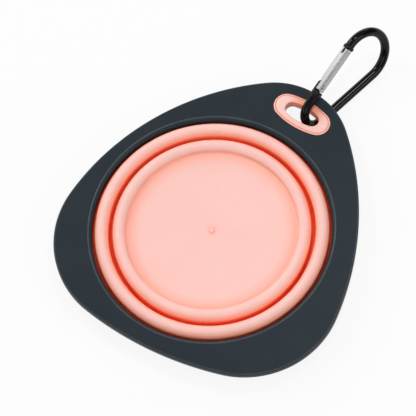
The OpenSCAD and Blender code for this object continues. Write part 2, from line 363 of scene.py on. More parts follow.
class Nodes:
    """Short calls that build a material's or a group's nodes."""

    def __init__(self, tree: bpy.types.NodeTree) -> None:
        """Keeps the tree that the nodes go into."""
        self.tree = tree

    def add(
        self, kind: str, inputs: dict[str | int, Feed] | None = None, **settings: object
    ) -> bpy.types.Node:
        """Adds a node.

        Args:
            kind: The node's type.
            inputs: Values or output sockets by input name or number.
            settings: Properties of the node.

        Returns:
            The new node.
        """
        node = self.tree.nodes.new(kind)
        for key, value in settings.items():
            setattr(node, key, value)
        for key, value in (inputs or {}).items():
            if isinstance(value, bpy.types.NodeSocket):
                self.tree.links.new(value, node.inputs[key])
            else:
                node.inputs[key].default_value = value
        return node

    def math(self, operation: str, first: Feed, second: Feed) -> bpy.types.NodeSocket:
        """Returns the result of a Math node."""
        return self.add("ShaderNodeMath", {0: first, 1: second}, operation=operation).outputs[0]

    def ramp(self, value: bpy.types.NodeSocket, stops: list[tuple[float, Colour]]) -> bpy.types.NodeSocket:
        """Adds a colour ramp.

        Args:
            value: Socket that drives the ramp.
            stops: Positions and colours, in order.

        Returns:
            The ramp's colour.
        """
        node = self.add("ShaderNodeValToRGB", {"Fac": value})
        ramp = node.color_ramp
        while len(ramp.elements) < len(stops):
            ramp.elements.new(0.5)
        for element, (position, colour) in zip(ramp.elements, stops):
            element.position = position
            element.color = (*colour, 1.0)
        return node.outputs["Color"]

    def blend(self, factor: Feed, first: Feed, second: Feed) -> bpy.types.NodeSocket:
        """Returns the colour of a Mix node."""
        inputs = {0: factor, 6: first, 7: second}
        return self.add("ShaderNodeMix", inputs, data_type="RGBA").outputs[2]

    def spread(self, value: bpy.types.NodeSocket, low: float, high: float) -> bpy.types.NodeSocket:
        """Returns a value between 0 and 1 spread between two others."""
        return self.add("ShaderNodeMapRange", {"Value": value, 3: low, 4: high}).outputs[0]

    def relief(self, height: bpy.types.NodeSocket, strength: float, depth: float) -> bpy.types.NodeSocket:
        """Adds a fine relief.

        Args:
            height: Socket with the relief's height.
            strength: Strength of the relief.
            depth: Depth of the relief in millimetres.

        Returns:
            The normal that the relief gives.
        """
        inputs = {"Height": height, "Strength": strength, "Distance": depth * MM}
        return self.add("ShaderNodeBump", inputs).outputs[0]

    def feed(self, node: bpy.types.Node, sockets: dict[str, bpy.types.NodeSocket]) -> None:
        """Links output sockets to a node's inputs by name."""
        for key, socket in sockets.items():
            self.tree.links.new(socket, node.inputs[key])


class Groups:
    """Shader node groups that more than one finish uses."""

    made: ClassVar[dict[str, bpy.types.NodeTree]] = {}

    @classmethod
    def fresh(cls, name: str, inputs: dict[str, float], outputs: list[str]) -> tuple[Nodes, bpy.types.Node]:
        """Starts a node group.

        Args:
            name: The group's name.
            inputs: Names and first values of its number inputs.
            outputs: Names of its number outputs.

        Returns:
            The node builder and the group's input node.
        """
        tree = bpy.data.node_groups.new(name, "ShaderNodeTree")
        for key, value in inputs.items():
            socket = tree.interface.new_socket(key, in_out="INPUT", socket_type="NodeSocketFloat")
            socket.default_value = value
        for key in outputs:
            tree.interface.new_socket(key, in_out="OUTPUT", socket_type="NodeSocketFloat")
        cls.made[name] = tree
        return Nodes(tree), tree.nodes.new("NodeGroupInput")

    @classmethod
    def moulded_grain(cls) -> bpy.types.NodeTree:
        """Returns the group for fine spark-eroded grain with slow cloudy change over it."""
        if "moulded_grain" in cls.made:
            return cls.made["moulded_grain"]
        inputs = {"Grain Scale": 2500.0, "Cloud Scale": 40.0}
        nodes, start = cls.fresh("moulded_grain", inputs, ["Grain", "Cloud", "Speck"])
        place = nodes.add("ShaderNodeTexCoord").outputs["Object"]
        fine, slow = start.outputs["Grain Scale"], start.outputs["Cloud Scale"]
        grain = nodes.add("ShaderNodeTexNoise", {"Vector": place, "Scale": fine, "Detail": 3.0})
        cloud = nodes.add("ShaderNodeTexNoise", {"Vector": place, "Scale": slow, "Detail": 4.0})
        coarse = nodes.math("MULTIPLY", fine, 0.22)
        cells = nodes.add("ShaderNodeTexVoronoi", {"Vector": place, "Scale": coarse}).outputs["Distance"]
        speck = nodes.add("ShaderNodeMapRange", {"Value": cells, 1: 0.05, 2: 0.16, 3: 1.0, 4: 0.0})
        finish = nodes.add("NodeGroupOutput")
        nodes.feed(finish, {"Grain": grain.outputs["Fac"], "Cloud": cloud.outputs["Fac"]})
        nodes.feed(finish, {"Speck": speck.outputs[0]})
        return nodes.tree

    @classmethod
    def drawn_lines(cls) -> bpy.types.NodeTree:
        """Returns the group for faint drawing lines along one direction of an object."""
        if "drawn_lines" in cls.made:
            return cls.made["drawn_lines"]
        inputs = {"Along": 8.0, "Across": 420.0, "Heading": 0.0, "Rise": 0.0}
        nodes, start = cls.fresh("drawn_lines", inputs, ["Lines", "Smudge"])
        place = nodes.add("ShaderNodeTexCoord").outputs["Object"]
        along, across = start.outputs["Along"], start.outputs["Across"]
        rise, heading = start.outputs["Rise"], start.outputs["Heading"]
        turn = nodes.add("ShaderNodeCombineXYZ", {1: rise, 2: heading}).outputs[0]
        turned = {"Vector": place, "Rotation": turn}
        flat = nodes.add("ShaderNodeMapping", turned, vector_type="TEXTURE").outputs[0]
        stretch = nodes.add("ShaderNodeCombineXYZ", {0: along, 1: across, 2: across}).outputs[0]
        scaled = nodes.add("ShaderNodeMapping", {"Vector": flat, "Scale": stretch}).outputs[0]
        lines = nodes.add("ShaderNodeTexNoise", {"Vector": scaled, "Scale": 1.0, "Detail": 1.0})
        smudge = nodes.add("ShaderNodeTexNoise", {"Vector": place, "Scale": 180.0, "Detail": 2.0})
        finish = nodes.add("NodeGroupOutput")
        nodes.feed(finish, {"Lines": lines.outputs["Fac"], "Smudge": smudge.outputs["Fac"]})
        return nodes.tree


def new_material(name: str) -> tuple[bpy.types.Material, Nodes, bpy.types.Node]:
    """Makes a material with a Principled shader.

    Args:
        name: The material's name.

    Returns:
        The material, its node builder and its shader.
    """
    material = bpy.data.materials.new(name)
    material.use_nodes = True
    nodes = Nodes(material.node_tree)
    shader = material.node_tree.nodes["Principled BSDF"]
    return material, nodes, shader


@dataclass(frozen=True)
class SiliconeFinish:
    """Satin moulded silicone with painted shade that turns its colour salmon, coral and red in folds and on
    sheltered slopes, and with a reddened share of the lamps' light let through the wall.

    Attributes:
        colour: Colour of the open faces.
        deep: Colour of slow cloudy patches.
        salmon: Painted shade colour on slopes that face open air on one side only.
        coral: Painted shade colour on slopes that face a fold.
        red: Painted shade colour in the bottom of a fold.
        reach: Distance over which a fold deepens the painted shade.
        shelter: Share of open air past which a face turns from the painted salmon shade to its open colour.
        roughness: Roughness of the skin.
        scatter: Share of light scattered under the skin.
        depth: Depth to which it scatters.
        passing: Share of the lamps' light that each face of the wall lets through.
        tint: Colour that the passing light takes at each face.
    """

    colour: Colour = (0.925, 0.565, 0.515)
    deep: Colour = (0.910, 0.545, 0.495)
    salmon: Colour = (0.985, 0.450, 0.350)
    coral: Colour = (0.990, 0.370, 0.240)
    red: Colour = (0.980, 0.170, 0.060)
    reach: float = 7.0
    shelter: float = 0.88
    roughness: float = 0.46
    scatter: float = 0.25
    depth: float = 0.4
    passing: float = 0.70
    tint: Colour = (1.0, 0.62, 0.38)

    def build(self, name: str) -> bpy.types.Material:
        """Returns the material under a name."""
        material, nodes, shader = new_material(name)
        scales = {"Grain Scale": 1800.0, "Cloud Scale": 55.0}
        grain = nodes.add("ShaderNodeGroup", scales, node_tree=Groups.moulded_grain())
        cloud = grain.outputs["Cloud"]
        open_face = nodes.ramp(cloud, [(0.30, self.deep), (0.62, self.colour)])
        # Painted shade: the occlusion factor turns the base colour salmon, coral and red where the surface
        # is sheltered, in place of the shade and reddened light of folds.
        around = {"Distance": self.reach * MM}
        air = nodes.add("ShaderNodeAmbientOcclusion", around, samples=12).outputs["AO"]
        fold = nodes.ramp(air, [(0.06, self.red), (0.36, self.coral), (self.shelter, self.salmon)])
        open_share = nodes.add("ShaderNodeMapRange", {"Value": air, 1: self.shelter, 2: 1.0}).outputs[0]
        looks = {
            "Base Color": nodes.blend(open_share, fold, open_face),
            "Roughness": nodes.spread(cloud, self.roughness - 0.05, self.roughness + 0.05),
            "Normal": nodes.relief(grain.outputs["Grain"], 0.05, 0.02),
        }
        nodes.feed(shader, looks)
        shader.inputs["Subsurface Weight"].default_value = self.scatter
        shader.inputs["Subsurface Radius"].default_value = (1.0, 0.30, 0.18)
        shader.inputs["Subsurface Scale"].default_value = self.depth * MM
        shader.inputs["Specular IOR Level"].default_value = 0.25
        self.let_through(nodes, shader)
        return material

    def let_through(self, nodes: Nodes, shader: bpy.types.Node) -> None:
        """Lets a reddened share of the lamps' light pass through the thin wall.

        Args:
            nodes: The material's node builder.
            shader: Its Principled shader.
        """
        from_lamp = nodes.add("ShaderNodeLightPath").outputs["Is Shadow Ray"]
        passed = [self.passing * value for value in self.tint]
        clear = nodes.add("ShaderNodeBsdfTransparent", {"Color": (*passed, 1.0)})
        mix = nodes.add("ShaderNodeMixShader", {0: from_lamp, 1: shader.outputs[0], 2: clear.outputs[0]})
        nodes.feed(nodes.tree.nodes["Material Output"], {"Surface": mix.outputs[0]})


@dataclass(frozen=True)
class SlateFinish:
    """Satin slate plastic with a fine moulded grain and a pale painted highlight along the shoulders of its
    upper edges.

    Attributes:
        colour: Colour of most of the face.
        cool: Colour of the bluer patches.
        highlight_colour: Colour of the painted highlight along the upper edges.
        roughness: Roughness of the grain.
    """

    EDGE_HIGHLIGHT: ClassVar[str] = "painted_edge_highlight"
    colour: Colour = (0.0270, 0.0360, 0.0425)
    cool: Colour = (0.0240, 0.0330, 0.0410)
    highlight_colour: Colour = (0.100, 0.108, 0.115)
    roughness: float = 0.27

    def build(self, name: str) -> bpy.types.Material:
        """Returns the material under a name."""
        material, nodes, shader = new_material(name)
        scales = {"Grain Scale": 2600.0, "Cloud Scale": 70.0}
        grain = nodes.add("ShaderNodeGroup", scales, node_tree=Groups.moulded_grain())
        fine, cloud = grain.outputs["Grain"], grain.outputs["Cloud"]
        base = nodes.ramp(cloud, [(0.35, self.cool), (0.65, self.colour)])
        pale = [1.35 * value for value in self.colour]
        face = nodes.blend(nodes.math("MULTIPLY", grain.outputs["Speck"], 0.35), base, (*pale, 1.0))
        # Painted highlight: a pale band on the upper edges' shoulders, patchy with the cloud.
        edge_highlight = nodes.add("ShaderNodeAttribute", attribute_name=self.EDGE_HIGHLIGHT).outputs["Fac"]
        patchy = nodes.math("MULTIPLY", edge_highlight, nodes.math("ADD", cloud, 0.35))
        looks = {
            "Base Color": nodes.blend(patchy, face, (*self.highlight_colour, 1.0)),
            "Roughness": nodes.spread(fine, self.roughness - 0.08, self.roughness + 0.08),
            "Normal": nodes.relief(fine, 0.12, 0.03),
        }
        nodes.feed(shader, looks)
        shader.inputs["Specular IOR Level"].default_value = 0.07
        return material


@dataclass(frozen=True)
class BlackFinish:
    """Glossy black coating on the bent rod.

    Attributes:
        colour: Colour of the coating.
        worn: Colour of the faint rubbed specks.
        roughness: Roughness of the coating.
    """

    colour: Colour = (0.0015, 0.0015, 0.0016)
    worn: Colour = (0.0040, 0.0040, 0.0040)
    roughness: float = 0.06

    def build(self, name: str) -> bpy.types.Material:
        """Returns the material under a name."""
        material, nodes, shader = new_material(name)
        scales = {"Grain Scale": 1400.0, "Cloud Scale": 160.0}
        grain = nodes.add("ShaderNodeGroup", scales, node_tree=Groups.moulded_grain())
        cloud = grain.outputs["Cloud"]
        looks = {
            "Base Color": nodes.ramp(cloud, [(0.45, self.colour), (0.80, self.worn)]),
            "Roughness": nodes.spread(cloud, self.roughness - 0.03, self.roughness + 0.04),
            "Normal": nodes.relief(grain.outputs["Grain"], 0.02, 0.01),
        }
        nodes.feed(shader, looks)
        shader.inputs["Specular IOR Level"].default_value = 0.18
        return material


@dataclass(frozen=True)
class BrightFinish:
    """Drawn bright metal with faint lines along one direction.

    Attributes:
        colour: Colour of the metal.
        dull: Colour in the drawing lines.
        roughness: Middle roughness of the metal.
        heading: Turn of the lines' direction about Z in degrees.
        rise: Turn of the lines' direction about Y in degrees.
    """

    colour: Colour = (0.50, 0.50, 0.52)
    dull: Colour = (0.35, 0.35, 0.36)
    roughness: float = 0.36
    heading: float = 0.0
    rise: float = 0.0

    def build(self, name: str) -> bpy.types.Material:
        """Returns the material under a name."""
        material, nodes, shader = new_material(name)
        turns = {"Heading": math.radians(self.heading), "Rise": math.radians(self.rise)}
        drawn = nodes.add("ShaderNodeGroup", turns, node_tree=Groups.drawn_lines())
        lines, smudge = drawn.outputs["Lines"], drawn.outputs["Smudge"]
        looks = {
            "Base Color": nodes.ramp(lines, [(0.38, self.dull), (0.56, self.colour)]),
            "Roughness": nodes.spread(smudge, self.roughness - 0.08, self.roughness + 0.10),
            "Normal": nodes.relief(lines, 0.003, 0.02),
        }
        nodes.feed(shader, looks)
        shader.inputs["Metallic"].default_value = 1.0
        return material


def dress(piece: bpy.types.Object, material: bpy.types.Material) -> bpy.types.Object:
    """Gives a piece its one material.

    Args:
        piece: The object.
        material: The material.

    Returns:
        The same object.
    """
    piece.data.materials.clear()
    piece.data.materials.append(material)
    return piece


@dataclass
class FoldedBowl:
    """The silicone bowl: floor, two beads, two folding webs and the collar held by the frame.

    Attributes:
        wall: Thickness of the wall.
        fillet: Radius of the fillet from the floor to the inner bead.
        floor_top: Height of the floor's upper face.
        floor_under: Height of the floor's lower face.
        nub: Radius of the nub's flat middle, radius of its brim and rounding of the brim.
        nub_rise: Heights of the nub's middle and brim above the floor.
        dish: Radii and heights of the shallow dish round the nub, from the floor's upper face.
        foot: Inner and outer radius of the foot ring and the rounding of its edges.
        corner: Rounding under the floor at the inner bead.
        crest_in: Radius of the inner bead's crest.
        hump_in: Bend radius of the inner bead on the wall's middle.
        high_in: Height of the inner bead's crest on the wall's middle.
        groove: Radius of the groove's bottom.
        groove_bend: Bend radius of the groove's bottom.
        crest_out: Radius of the outer bead's crest.
        hump_out: Bend radius of the outer bead.
        high_out: Height of the outer bead's crest on the wall's middle.
        skirt_at: Radius of the lowest fold at the skirt.
        skirt_bend: Bend radius of that fold.
        low: Height of both lower folds on the wall's middle.
        frame_under: Height of the frame's lower face.
        bead: Inner and outer radius of the rim bead in the frame's groove.
        bead_high: Height of the rim bead above the frame's lower face.
        flange: Outer radius of the flange under the frame.
        flange_thick: Thickness of the flange.
        flange_soft: Rounding of the flange's edge.
        root: Rounding between the skirt and the flange.
        finish: The bowl's finish.
    """

    wall: float = 1.2
    fillet: float = 1.2
    floor_top: float = 9.0
    floor_under: float = 6.6
    nub: tuple[float, float, float] = (0.4, 0.9, 0.3)
    nub_rise: tuple[float, float] = (0.32, 0.40)
    dish: tuple[tuple[float, float], ...] = (
        (1.25, -0.12),
        (1.5, -0.22),
        (2.1, -0.24),
        (2.6, -0.16),
        (2.95, -0.05),
        (3.3, 0.0),
    )
    foot: tuple[float, float, float] = (37.5, 41.5, 0.8)
    corner: float = 0.4
    crest_in: float = 46.6
    hump_in: float = 2.8
    high_in: float = 11.9
    groove: float = 51.0
    groove_bend: float = 1.6
    crest_out: float = 55.5
    hump_out: float = 2.9
    high_out: float = 12.1
    skirt_at: float = 59.9
    skirt_bend: float = 1.5
    low: float = 1.0
    frame_under: float = 7.6
    bead: tuple[float, float] = (62.15, 64.45)
    bead_high: float = 2.15
    flange: float = 66.1
    flange_thick: float = 1.2
    flange_soft: float = 0.3
    root: float = 0.5
    finish: SiliconeFinish = SiliconeFinish()

    def build(self) -> list[bpy.types.Object]:
        """Builds and dresses the bowl's five pieces, and hangs the floor, the middle ring and the collar on
        their bodies.

        Returns:
            The pieces.
        """
        material = self.finish.build("pink_silicone")
        base, inner, middle = self.base(), self.inner_web(), self.middle_ring()
        outer, collar = self.outer_web(), self.collar()
        for piece in (base, inner, middle, outer, collar):
            dress(piece, material)
        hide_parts("bowl_floor", "lower_ring")
        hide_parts("inner_fold")
        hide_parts("upper_ring")
        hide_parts("outer_fold")
        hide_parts("bowl_collar")
        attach(base, Body.BASE.value)
        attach(middle, Body.MIDDLE.value)
        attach(collar, Body.RIM.value)
        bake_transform(inner)
        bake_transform(outer)
        return [base, inner, middle, outer, collar]

    def base(self) -> bpy.types.Object:
        """Returns the floor with its nub, its foot ring and the rise to the inner bead."""
        half = self.wall / 2
        top, under = self.floor_top, self.floor_under
        mid = self.high_in - self.hump_in
        outer_r, inner_r = self.hump_in + half, self.hump_in - half
        drop, span = top + self.fillet - mid, self.fillet + outer_r
        turn = math.degrees(math.acos(drop / span))
        floor_r = self.crest_in - math.sqrt(span * span - drop * drop)
        foot_in, foot_out, soft = self.foot
        flat, brim, round_off = self.nub
        middle, crown = (top + rise for rise in self.nub_rise)
        pen = Section("bowl_base", (0.0, middle))
        pen.line(flat, middle).line(brim, crown).arc(brim, crown - round_off, 90, 6)
        for out, rise in self.dish:
            pen.line(out, top + rise)
        pen.line(floor_r, top, 10).arc(floor_r, top + self.fillet, -turn, 8)
        pen.arc(self.crest_in, mid, turn, 20)
        pen.line(self.crest_in, self.high_in - half)
        bore, corner = self.crest_in - inner_r, under + self.corner
        pen.arc(self.crest_in, mid, -90, 12).line(bore, corner)
        pen.arc(bore - self.corner, corner, 90, 4).line(foot_out, under)
        pen.line(foot_out, soft).arc(foot_out - soft, soft, 90, 8).line(foot_in + soft, 0.0)
        pen.arc(foot_in + soft, soft, 90, 8).line(foot_in, under).line(0.0, under, 6)
        return pen.lathe()

    def web(
        self, name: str, ridge: tuple[float, float, float], low_fold: tuple[float, float]
    ) -> bpy.types.Object:
        """Makes one folding web from a bead's crest down to a lower fold.

        Args:
            name: Name of the piece.
            ridge: Radius of the bead's crest, bend radius of the bead and height of its crest.
            low_fold: Radius of the lower fold and its bend radius.

        Returns:
            The finished object.
        """
        half = self.wall / 2
        crest, hump, high = ridge
        fold, bend = low_fold
        mid, low = high - hump, self.low + bend
        wall_r = crest + hump
        pen = Section(name, (crest, high + half))
        pen.arc(crest, mid, 90, 20).line(wall_r + half, low, 12)
        pen.arc(fold, low, -90, 12).line(fold, self.low - half)
        pen.arc(fold, low, 90, 16).line(wall_r - half, mid, 12)
        pen.arc(crest, mid, -90, 16).close()
        return pen.lathe()

    def inner_web(self) -> bpy.types.Object:
        """Returns the web from the inner bead to the groove."""
        ridge = (self.crest_in, self.hump_in, self.high_in)
        return self.web("inner_web", ridge, (self.groove, self.groove_bend))

    def outer_web(self) -> bpy.types.Object:
        """Returns the web from the outer bead to the skirt."""
        ridge = (self.crest_out, self.hump_out, self.high_out)
        return self.web("outer_web", ridge, (self.skirt_at, self.skirt_bend))

    def middle_ring(self) -> bpy.types.Object:
        """Returns the ring from the groove's bottom up to the outer bead's crest."""
        half = self.wall / 2
        mid, low = self.high_out - self.hump_out, self.low + self.groove_bend
        wall_r = self.groove + self.groove_bend
        pen = Section("middle_ring", (self.groove, self.low + half))
        pen.arc(self.groove, low, -90, 12).line(wall_r - half, mid, 8)
        pen.arc(self.crest_out, mid, 90, 20).line(self.crest_out, self.high_out - half)
        pen.arc(self.crest_out, mid, -90, 16).line(wall_r + half, low, 8)
        pen.arc(self.groove, low, 90, 16).close()
        return pen.lathe()

    def collar(self) -> bpy.types.Object:
        """Returns the skirt with the flange and the bead that the frame holds."""
        half = self.wall / 2
        low = self.low + self.skirt_bend
        skirt = self.skirt_at + self.skirt_bend
        under, soft = self.frame_under, self.flange_soft
        near, far = self.bead
        bead_top, flange_under = under + self.bead_high, under - self.flange_thick
        edge, flank = self.flange - soft, skirt + half + self.root
        pen = Section("bowl_skirt", (self.skirt_at, self.low + half))
        pen.arc(self.skirt_at, low, -90, 8).line(skirt - half, under, 6)
        pen.line(near, under).line(near, bead_top).line(far, bead_top).line(far, under)
        pen.line(edge, under).arc(edge, under - soft, 90, 4)
        pen.line(self.flange, flange_under + soft).arc(edge, flange_under + soft, 90, 4)
        pen.line(flank, flange_under).arc(flank, flange_under - self.root, -90, 6)
        pen.line(skirt + half, low, 6).arc(self.skirt_at, low, 90, 12).close()
        return pen.lathe()


@dataclass
class Arc:
    """One arc of an outline.

    Attributes:
        centre: Centre of the arc.
        radius: Radius of the arc.
        start: First angle in degrees.
        end: Last angle in degrees, past the first.
    """

    centre: Vector
    radius: float
    start: float
    end: float

    def __post_init__(self) -> None:
        """Makes the last angle lie past the first."""
        while self.end < self.start:
            self.end += 360.0


@dataclass
class RimFrame:
    """The hard three-sided frame with its bore and the hole that the grommet fills.

    Attributes:
        bore: Radius of the bore.
        top: Height of the upper face.
        under: Height of the lower face.
        edge: Rounding of the upper edge.
        lip: Rounding of the bore's lip.
        edge_under: Rounding of the lower edge.
        band: Width of the swept edge.
        strip: Width of the narrow flat strips beside the rounded edges.
        segment: Length of one segment of the sweep, in degrees of arc times millimetres of radius.
        edge_highlight: Drop below the upper face where the painted highlight on an edge is strongest, and
            the drop over which it fades.
        corner_r: Radii of the corner arcs.
        corner_at: Angles of the corners in degrees.
        reach: Distances of the corners' tips from the bowl's axis.
        side_r: Radii of the side arcs.
        groove: Inner and outer radius and depth of the groove for the bowl's bead.
        hole: Length, width and end radius of the grommet's hole.
        hole_y: Place of the hole on the Y axis.
        hole_turn: Turn of the hole about its middle in degrees.
        finish: The frame's finish.
    """

    bore: float = 60.2
    top: float = 12.0
    under: float = 7.6
    edge: float = 0.8
    lip: float = 2.4
    edge_under: float = 1.2
    band: float = 2.6
    strip: float = 0.25
    segment: float = 130.0
    edge_highlight: tuple[float, float] = (0.08, 0.12)
    corner_r: tuple[float, ...] = (38.9, 48.8, 48.2)
    corner_at: tuple[float, ...] = (90.5, 225.6, -24.4)
    reach: tuple[float, ...] = (90.9, 79.8, 83.8)
    side_r: tuple[float, ...] = (130.0, 173.3, 155.0)
    groove: tuple[float, float, float] = (62.1, 64.5, 2.2)
    hole: tuple[float, float, float] = (23.6, 12.5, 5.4)
    hole_y: float = 77.0
    hole_turn: float = 1.8
    finish: SlateFinish = SlateFinish()

    def outline(self) -> list[Arc]:
        """Returns the six arcs of the outline, in order, turning to the left."""
        centres = [direction(a) * (d - r) for a, d, r in zip(self.corner_at, self.reach, self.corner_r)]
        sides = []
        for i in range(3):
            j = (i + 1) % 3
            gap = centres[j] - centres[i]
            span = gap.length
            near, far = self.side_r[i] - self.corner_r[i], self.side_r[i] - self.corner_r[j]
            along = (near * near - far * far + span * span) / (2 * span)
            away = math.sqrt(near * near - along * along)
            square = Vector((-gap.y, gap.x, 0.0)) / span
            sides.append(centres[i] + gap / span * along + square * away)
        arcs = []
        for i in range(3):
            before, after = sides[(i + 2) % 3], sides[i]
            start, end = heading_of(centres[i] - before), heading_of(centres[i] - after)
            arcs.append(Arc(centres[i], self.corner_r[i], start, end))
            last = heading_of(centres[(i + 1) % 3] - after)
            arcs.append(Arc(after, self.side_r[i], end, last))
        return arcs

    def build(self) -> list[bpy.types.Object]:
        """Builds, dresses and hangs the frame.

        Returns:
            The one piece.
        """
        piece = Bench.join([self.edge_sweep(), self.bore_wall(), self.hole_wall()])
        bpy.ops.object.mode_set(mode="EDIT")
        for height in (self.top, self.under):
            self.fill_level(piece, height * MM)
        Bench.weld()
        Bench.done(piece)
        self.mark_edge_highlight(piece)
        dress(piece, self.finish.build("slate_plastic"))
        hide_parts("rim_frame")
        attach(piece, Body.RIM.value)
        return [piece]

    @staticmethod
    def fill_level(piece: bpy.types.Object, level: float) -> None:
        """Fills the flat face between the open loops at one height.

        Args:
            piece: The joined walls, in edit mode.
            level: Height of the face in metres.
        """
        slack = 1e-7

        def open_there(edge: bmesh.types.BMEdge) -> bool:
            """Tells whether an edge is open and lies at the height."""
            return edge.is_boundary and all(abs(vert.co.z - level) < slack for vert in edge.verts)

        Bench.pick(piece, open_there)
        bpy.ops.mesh.fill(use_beauty=True)

    def mark_edge_highlight(self, piece: bpy.types.Object) -> None:
        """Marks the shoulders of the upper edges, where a pale highlight is painted.

        Args:
            piece: The frame, in object mode.
        """
        peak, fade = self.edge_highlight
        flat = 0.004
        mark = piece.data.attributes.new(SlateFinish.EDGE_HIGHLIGHT, "FLOAT", "POINT")
        for vert, item in zip(piece.data.vertices, mark.data):
            drop = self.top - vert.co.z / MM
            item.value = 0.0 if drop < flat else max(0.0, 1.0 - abs(drop - peak) / fade)

    def edge_sweep(self) -> bpy.types.Object:
        """Returns the outer edge, its section carried round the outline arc by arc."""
        arcs = self.outline()
        first = arcs[0]
        r, soft, low = first.radius, self.edge, self.edge_under
        pen = Section("frame_plate", (r - self.band, self.top), first.centre, first.start)
        pen.line(r - soft - self.strip, self.top).line(r - soft, self.top)
        pen.arc(r - soft, self.top - soft, 90, 10).line(r, self.under + low, 2)
        pen.arc(r - low, self.under + low, 90, 8).line(r - low - self.strip, self.under)
        pen.line(r - self.band, self.under)
        bpy.ops.mesh.select_all(action="SELECT")
        for arc in arcs:
            steps = max(12, round((arc.end - arc.start) * arc.radius / self.segment))
            Bench.spin(arc.centre * MM, UP, arc.end - arc.start, steps)
        Bench.weld()
        bpy.ops.object.mode_set(mode="OBJECT")
        return pen.piece

    def bore_wall(self) -> bpy.types.Object:
        """Returns the bore with its rounded lip and the groove for the bowl's bead."""
        soft, under = self.lip, self.under
        near, far, depth = self.groove
        pen = Section("bore_wall", (self.bore + soft + self.strip, self.top))
        pen.line(self.bore + soft, self.top).arc(self.bore + soft, self.top - soft, -90, 14)
        pen.line(self.bore, under).line(near, under).line(near, under + depth)
        pen.line(far, under + depth).line(far, under)
        return pen.lathe()

    def hole_wall(self) -> bpy.types.Object:
        """Returns the upright wall of the oval hole."""
        oval = Oval(*self.hole, self.hole_y, self.hole_turn)
        piece = oval.ring("hole_wall", self.under)
        bpy.ops.mesh.select_all(action="SELECT")
        move = Vector((0.0, 0.0, (self.top - self.under) * MM))
        bpy.ops.mesh.extrude_region_move(TRANSFORM_OT_translate={"value": move})
        bpy.ops.object.mode_set(mode="OBJECT")
        return piece


@dataclass
class Oval:
    """An oval of two flat arcs and two end arcs about a point on the Y axis.

    Attributes:
        length: Length along X.
        width: Width along Y.
        end_r: Radius of the end arcs.
        y: Place of the oval's middle.
        turn: Turn of the oval about its middle in degrees.
    """

    length: float
    width: float
    end_r: float
    y: float
    turn: float = 0.0

    def at(self, along: float, across: float, up: float) -> Vector:
        """Returns a place in metres from lengths along and across the oval."""
        away = direction(self.turn) * along + direction(self.turn + 90.0) * across
        return (away + Vector((0.0, self.y, up))) * MM

    def ring(self, name: str, up: float) -> bpy.types.Object:
        """Makes the oval as one closed loop of edges.

        Args:
            name: Name of the object.
            up: Height of the loop.

        Returns:
            The object, in edit mode, welded.
        """
        b = self.width / 2
        end_x = self.length / 2 - self.end_r
        flat = (end_x * end_x + b * b - self.end_r * self.end_r) / (2 * (b - self.end_r))
        half = math.degrees(math.atan2(end_x, flat - b))
        piece = Bench.point(name, self.at(0.0, b, up))
        end = 180.0 - 2 * half
        Bench.spin(self.at(0.0, b - flat, up), UP, half, 10)
        Bench.spin(self.at(-end_x, 0.0, up), UP, end, 20)
        Bench.spin(self.at(0.0, flat - b, up), UP, 2 * half, 20)
        Bench.spin(self.at(end_x, 0.0, up), UP, end, 20)
        Bench.spin(self.at(0.0, b - flat, up), UP, half, 10)
        bpy.ops.mesh.select_all(action="SELECT")
        bpy.ops.mesh.remove_doubles(threshold=WELD)
        return piece


